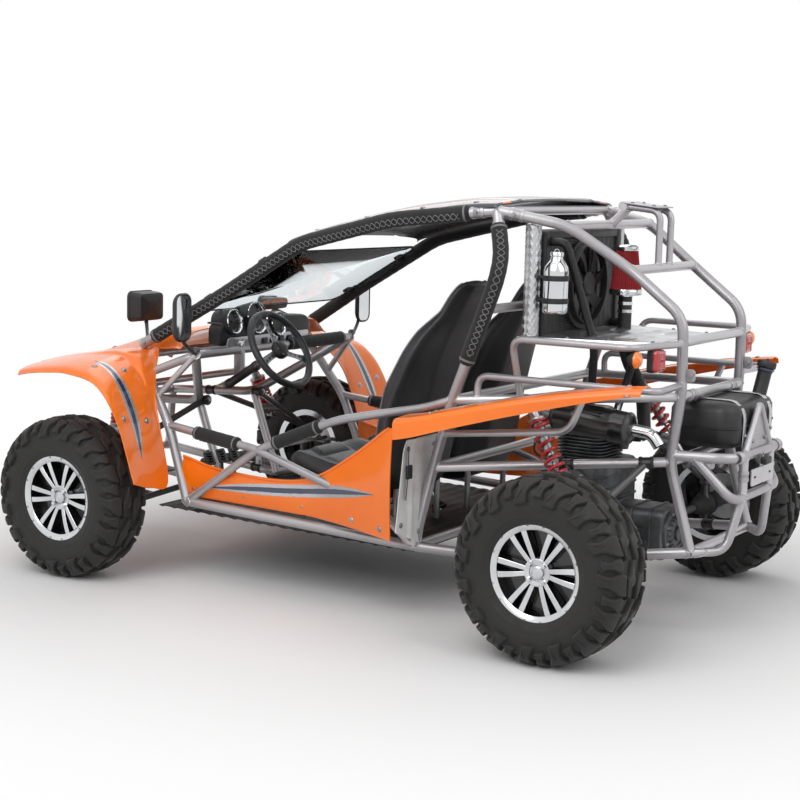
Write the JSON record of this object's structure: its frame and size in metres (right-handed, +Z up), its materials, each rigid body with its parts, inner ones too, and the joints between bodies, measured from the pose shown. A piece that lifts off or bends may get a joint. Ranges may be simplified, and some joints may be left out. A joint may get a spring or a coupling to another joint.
{
  "type": "dune buggy",
  "caption": "Two-seat off-road buggy: welded tube frame and roll cage, knobbly tyres on spoked rims, fenders, bucket seats, rack steering and an open rear engine.",
  "frame": {"origin": "on the floor under the middle of the vehicle's length and width", "axes": "+Z up, the vehicle faces -Y, its left side is +X"},
  "size_m": [1.901, 2.934, 1.5278],
  "materials": {
    "alloy": "machined with black pockets",
    "black_plastic": "matt black",
    "black_steel": "black paint",
    "clear": "clear",
    "engine_alloy": "cast, dull",
    "foam": "black foam sleeve",
    "frame_silver": "satin silver-grey powder coat",
    "grey_roof": "dark grey, satin",
    "orange": "glossy orange",
    "red_lens": "red lens",
    "red_spring": "red paint",
    "sheet_alloy": "brushed sheet",
    "steel": "bare steel",
    "tank_black": "black moulded tank",
    "tyre_rubber": "black rubber",
    "vinyl": "black vinyl",
    "white_panel": "bare white inner face"
  },
  "bodies": {
    "chassis": {"bar_padding": "foam", "cage_padding": "foam", "coil_springs": "red_spring", "dampers": "steel", "dash_pod": "black_plastic", "engine": "engine_alloy", "floor_pan": "black_plastic", "frame_front": "frame_silver", "frame_lower": "frame_silver", "front_arms": "black_steel", "front_fender_left": "orange", "front_fender_right": "orange", "fuel_tank": "tank_black", "gearbox": "engine_alloy", "guard_rails": "frame_silver", "half_shafts": "steel", "headlamps": "black_plastic", "hood": "orange", "mirrors": "black_plastic", "muffler": "black_steel", "rack_housing": "steel", "radiator": "black_plastic", "rear_arms": "black_steel", "rear_bumper": "frame_silver", "rear_cage": "frame_silver", "rear_deck": "sheet_alloy", "rear_fender_left": "orange", "rear_fender_right": "orange", "rear_knuckles": "black_steel", "roll_cage": "frame_silver", "roof_panel": "grey_roof", "seat_left": "vinyl", "seat_right": "vinyl", "side_bars": "frame_silver", "splash_panels": "white_panel", "steering_column": "steel", "tail_lamps": "red_lens", "tub_left": "orange", "tub_right": "orange", "windscreen": "clear"},
    "knuckle_left": {"knuckle_left": "black_steel"},
    "knuckle_right": {"knuckle_right": "black_steel"},
    "wheel_front_left": {"tyre_front_left": "tyre_rubber", "rim_front_left": "alloy"},
    "wheel_front_right": {"tyre_front_right": "tyre_rubber", "rim_front_right": "alloy"},
    "wheel_rear_left": {"tyre_rear_left": "tyre_rubber", "rim_rear_left": "alloy"},
    "wheel_rear_right": {"tyre_rear_right": "tyre_rubber", "rim_rear_right": "alloy"},
    "rack": {"steering_rack": "steel"},
    "steering": {"steering_wheel": "black_plastic"}
  },
  "joints": [
    {"name": "steer_left", "type": "hinge", "parent": "chassis", "child": "knuckle_left", "pos_m": [0.735, -1.055, 0.3175], "axis": [0, 0, 1], "range_deg": [-25, 25]},
    {"name": "spin_front_left", "type": "hinge", "parent": "knuckle_left", "child": "wheel_front_left", "pos_m": [0.845, -1.055, 0.3175], "axis": [1, 0, 0], "continuous": true},
    {"name": "spin_rear_left", "type": "hinge", "parent": "chassis", "child": "wheel_rear_left", "pos_m": [0.775, 1.015, 0.3175], "axis": [1, 0, 0], "continuous": true},
    {"name": "steer_right", "type": "hinge", "parent": "chassis", "child": "knuckle_right", "pos_m": [-0.735, -1.055, 0.3175], "axis": [0, 0, 1], "range_deg": [-25, 25]},
    {"name": "spin_front_right", "type": "hinge", "parent": "knuckle_right", "child": "wheel_front_right", "pos_m": [-0.845, -1.055, 0.3175], "axis": [1, 0, 0], "continuous": true},
    {"name": "spin_rear_right", "type": "hinge", "parent": "chassis", "child": "wheel_rear_right", "pos_m": [-0.775, 1.015, 0.3175], "axis": [1, 0, 0], "continuous": true},
    {"name": "rack_slide", "type": "slide", "parent": "chassis", "child": "rack", "axis": [1, 0, 0], "range_m": [-0.06327, 0.06327]},
    {"name": "wheel_turn", "type": "hinge", "parent": "chassis", "child": "steering", "pos_m": [0.27, -0.47002, 0.8954], "axis": [0, 0.848, 0.5299], "range_deg": [-275, 275]}
  ],
  "couplings": [
    {"joint": "steer_right", "follows": "steer_left", "ratio": 1},
    {"joint": "rack_slide", "follows": "steer_left", "m_per_rad": -0.145},
    {"joint": "wheel_turn", "follows": "steer_left", "ratio": 11}
  ]
}
